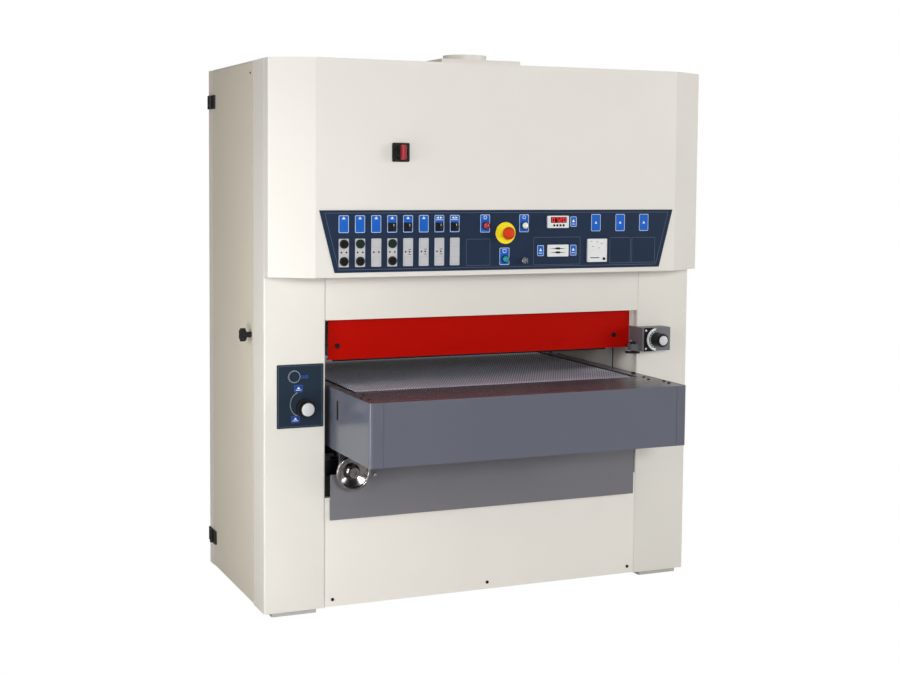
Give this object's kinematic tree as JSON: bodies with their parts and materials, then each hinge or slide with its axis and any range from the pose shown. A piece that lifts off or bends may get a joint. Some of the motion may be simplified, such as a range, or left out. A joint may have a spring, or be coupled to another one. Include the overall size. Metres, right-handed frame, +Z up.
{
  "type": "wide belt sander",
  "caption": "Floor-standing wide belt sander with a rising conveyor table, overhead control cabinet, side columns, red infeed guard and roof dust collar.",
  "frame": {"origin": "on the floor under the middle of the machine's box", "axes": "+X to the operator's right seen from the infeed, +Y from infeed to outfeed, +Z up"},
  "size_m": [1.719, 1.3, 1.954],
  "materials": {
    "cream_paint": "satin textured powder coat",
    "grey_paint": "satin powder coat",
    "red_paint": "gloss enamel",
    "frame_paint": "satin enamel",
    "navy_panel": "satin printed plate",
    "black_plastic": "moulded",
    "pale_plastic": "moulded",
    "yellow_plastic": "moulded",
    "red_plastic": "moulded",
    "feed_belt_pvc": "diamond patterned",
    "abrasive": "coated abrasive",
    "belt_rubber": "matt",
    "drum_rubber": "ground",
    "steel": "turned",
    "chrome": "plated",
    "motor_paint": "enamel"
  },
  "bodies": {
    "machine": {"main_frame": "cream_paint", "floor_pads": "frame_paint", "left_column": "cream_paint", "right_column": "cream_paint", "lower_front_panel": "cream_paint", "upper_front_panel": "cream_paint", "control_cabinet": "cream_paint", "roof_plate": "cream_paint", "rear_panel": "cream_paint", "right_side_cover": "cream_paint", "dust_outlet": "cream_paint", "infeed_guard": "red_paint", "operator_panel": "navy_panel", "starter_plates": "pale_plastic", "panel_fittings": "yellow_plastic", "panel_instruments": "pale_plastic", "side_panel": "navy_panel", "gauge_bracket": "grey_paint", "main_motor": "motor_paint", "sanding_belt": "abrasive", "drive_belts": "belt_rubber", "hinge_frame_halves": "black_plastic", "lift_drive": "motor_paint"},
    "table": {"table_frame": "frame_paint", "table_fairing": "grey_paint", "table_strips": "grey_paint", "table_skirt": "grey_paint", "feed_belt": "feed_belt_pvc", "feed_motor": "motor_paint"},
    "door": {"side_door": "cream_paint", "hinge_door_halves": "black_plastic"},
    "idler_roller": {"idler_roller": "steel"},
    "drive_roller": {"drive_roller": "steel"},
    "feed_handwheel": {"feed_handwheel": "chrome"},
    "contact_drum": {"contact_drum": "drum_rubber"},
    "tension_roller": {"tension_roller": "steel"},
    "motor_pulley": {"motor_pulley": "steel"},
    "infeed_pressure_roller": {"infeed_pressure_roller": "belt_rubber"},
    "outfeed_pressure_roller": {"outfeed_pressure_roller": "belt_rubber"},
    "lift_screw_1": {"lift_screw_1": "steel"},
    "lift_screw_2": {"lift_screw_2": "steel"},
    "lift_screw_3": {"lift_screw_3": "steel"},
    "lift_screw_4": {"lift_screw_4": "steel"},
    "side_door_knob": {"side_door_knob": "black_plastic"},
    "button_1": {"button_1": "black_plastic"},
    "button_2": {"button_2": "black_plastic"},
    "button_3": {"button_3": "black_plastic"},
    "button_4": {"button_4": "black_plastic"},
    "button_5": {"button_5": "black_plastic"},
    "button_6": {"button_6": "black_plastic"},
    "stop_mushroom": {"stop_mushroom": "red_plastic"},
    "selector_1": {"selector_1": "black_plastic"},
    "selector_2": {"selector_2": "black_plastic"},
    "selector_3": {"selector_3": "black_plastic"},
    "selector_4": {"selector_4": "black_plastic"},
    "key_switch": {"key_switch": "steel"},
    "isolator_handle": {"isolator_handle": "red_plastic"},
    "speed_knob": {"speed_knob": "black_plastic"},
    "dial_knob": {"dial_knob": "black_plastic"},
    "feeler_disc": {"feeler_disc": "black_plastic"}
  },
  "joints": [
    {"name": "table_lift", "type": "slide", "parent": "machine", "child": "table", "axis": [0, 0, 1], "range_m": [-0.092, 0.068]},
    {"name": "lift_screw_1_turn", "type": "hinge", "parent": "machine", "child": "lift_screw_1", "pos_m": [-0.5, -0.065, 0.1], "axis": [0, 0, 1], "continuous": true},
    {"name": "lift_screw_2_turn", "type": "hinge", "parent": "machine", "child": "lift_screw_2", "pos_m": [0.5, -0.065, 0.1], "axis": [0, 0, 1], "continuous": true},
    {"name": "lift_screw_3_turn", "type": "hinge", "parent": "machine", "child": "lift_screw_3", "pos_m": [-0.5, 0.335, 0.1], "axis": [0, 0, 1], "continuous": true},
    {"name": "lift_screw_4_turn", "type": "hinge", "parent": "machine", "child": "lift_screw_4", "pos_m": [0.5, 0.335, 0.1], "axis": [0, 0, 1], "continuous": true},
    {"name": "drive_roller_spin", "type": "hinge", "parent": "table", "child": "drive_roller", "pos_m": [0, 0.5745, 0.7215], "axis": [1, 0, 0], "continuous": true},
    {"name": "idler_roller_spin", "type": "hinge", "parent": "table", "child": "idler_roller", "pos_m": [0, -0.357, 0.7215], "axis": [1, 0, 0], "continuous": true},
    {"name": "handwheel_turn", "type": "hinge", "parent": "table", "child": "feed_handwheel", "pos_m": [-0.535, -0.335, 0.497], "axis": [0, -1, 0], "continuous": true},
    {"name": "drum_spin", "type": "hinge", "parent": "machine", "child": "contact_drum", "pos_m": [0, 0.035, 0.9705], "axis": [1, 0, 0], "continuous": true},
    {"name": "tension_roller_spin", "type": "hinge", "parent": "machine", "child": "tension_roller", "pos_m": [0, 0.035, 1.6255], "axis": [1, 0, 0], "continuous": true},
    {"name": "motor_spin", "type": "hinge", "parent": "machine", "child": "motor_pulley", "pos_m": [0.7, 0.295, 1.3565], "axis": [1, 0, 0], "continuous": true},
    {"name": "infeed_pressure_spin", "type": "hinge", "parent": "machine", "child": "infeed_pressure_roller", "pos_m": [0, -0.135, 0.887], "axis": [1, 0, 0], "continuous": true},
    {"name": "outfeed_pressure_spin", "type": "hinge", "parent": "machine", "child": "outfeed_pressure_roller", "pos_m": [0, 0.205, 0.887], "axis": [1, 0, 0], "continuous": true},
    {"name": "door_swing", "type": "hinge", "parent": "machine", "child": "door", "pos_m": [-0.841, 0.426, 0.96], "axis": [0, 0, -1], "range_deg": [0, 110]},
    {"name": "door_knob_turn", "type": "hinge", "parent": "door", "child": "side_door_knob", "pos_m": [-0.85, -0.107, 0.96], "axis": [1, 0, 0], "continuous": true},
    {"name": "button_1_push", "type": "slide", "parent": "machine", "child": "button_1", "axis": [0, 1, 0], "range_m": [0, 0.003], "stiffness_N_per_m": 600},
    {"name": "button_2_push", "type": "slide", "parent": "machine", "child": "button_2", "axis": [0, 1, 0], "range_m": [0, 0.003], "stiffness_N_per_m": 600},
    {"name": "button_3_push", "type": "slide", "parent": "machine", "child": "button_3", "axis": [0, 1, 0], "range_m": [0, 0.003], "stiffness_N_per_m": 600},
    {"name": "button_4_push", "type": "slide", "parent": "machine", "child": "button_4", "axis": [0, 1, 0], "range_m": [0, 0.003], "stiffness_N_per_m": 600},
    {"name": "button_5_push", "type": "slide", "parent": "machine", "child": "button_5", "axis": [0, 1, 0], "range_m": [0, 0.003], "stiffness_N_per_m": 600},
    {"name": "button_6_push", "type": "slide", "parent": "machine", "child": "button_6", "axis": [0, 1, 0], "range_m": [0, 0.003], "stiffness_N_per_m": 600},
    {"name": "stop_push", "type": "slide", "parent": "machine", "child": "stop_mushroom", "axis": [0, 1, 0], "range_m": [0, 0.004], "stiffness_N_per_m": 800},
    {"name": "selector_1_turn", "type": "hinge", "parent": "machine", "child": "selector_1", "pos_m": [-0.4219, -0.393, 1.34], "axis": [0, -1, 0], "range_deg": [-45, 45]},
    {"name": "selector_2_turn", "type": "hinge", "parent": "machine", "child": "selector_2", "pos_m": [-0.3643, -0.393, 1.34], "axis": [0, -1, 0], "range_deg": [-45, 45]},
    {"name": "selector_3_turn", "type": "hinge", "parent": "machine", "child": "selector_3", "pos_m": [-0.2491, -0.393, 1.34], "axis": [0, -1, 0], "range_deg": [-45, 45]},
    {"name": "selector_4_turn", "type": "hinge", "parent": "machine", "child": "selector_4", "pos_m": [-0.1915, -0.393, 1.34], "axis": [0, -1, 0], "range_deg": [-45, 45]},
    {"name": "key_turn", "type": "hinge", "parent": "machine", "child": "key_switch", "pos_m": [0.077, -0.393, 1.219], "axis": [0, -1, 0], "range_deg": [0, 90]},
    {"name": "isolator_turn", "type": "hinge", "parent": "machine", "child": "isolator_handle", "pos_m": [-0.392, -0.396, 1.592], "axis": [0, -1, 0], "range_deg": [0, 90]},
    {"name": "speed_knob_turn", "type": "hinge", "parent": "machine", "child": "speed_knob", "pos_m": [-0.689, -0.268, 0.7185], "axis": [0, -1, 0], "range_deg": [-135, 135]},
    {"name": "dial_turn", "type": "hinge", "parent": "machine", "child": "dial_knob", "pos_m": [0.665, -0.325, 0.911], "axis": [0, -1, 0], "range_deg": [-150, 150]},
    {"name": "feeler_lift", "type": "slide", "parent": "machine", "child": "feeler_disc", "axis": [0, 0, 1], "range_m": [0, 0.005], "stiffness_N_per_m": 200}
  ],
  "couplings": [
    {"joint": "lift_screw_1_turn", "follows": "table_lift", "rad_per_m": -1047.2},
    {"joint": "lift_screw_2_turn", "follows": "table_lift", "rad_per_m": -1047.2},
    {"joint": "lift_screw_3_turn", "follows": "table_lift", "rad_per_m": -1047.2},
    {"joint": "lift_screw_4_turn", "follows": "table_lift", "rad_per_m": -1047.2},
    {"joint": "idler_roller_spin", "follows": "drive_roller_spin", "ratio": 1},
    {"joint": "tension_roller_spin", "follows": "drum_spin", "ratio": 1.375},
    {"joint": "motor_spin", "follows": "drum_spin", "ratio": 1.25}
  ]
}
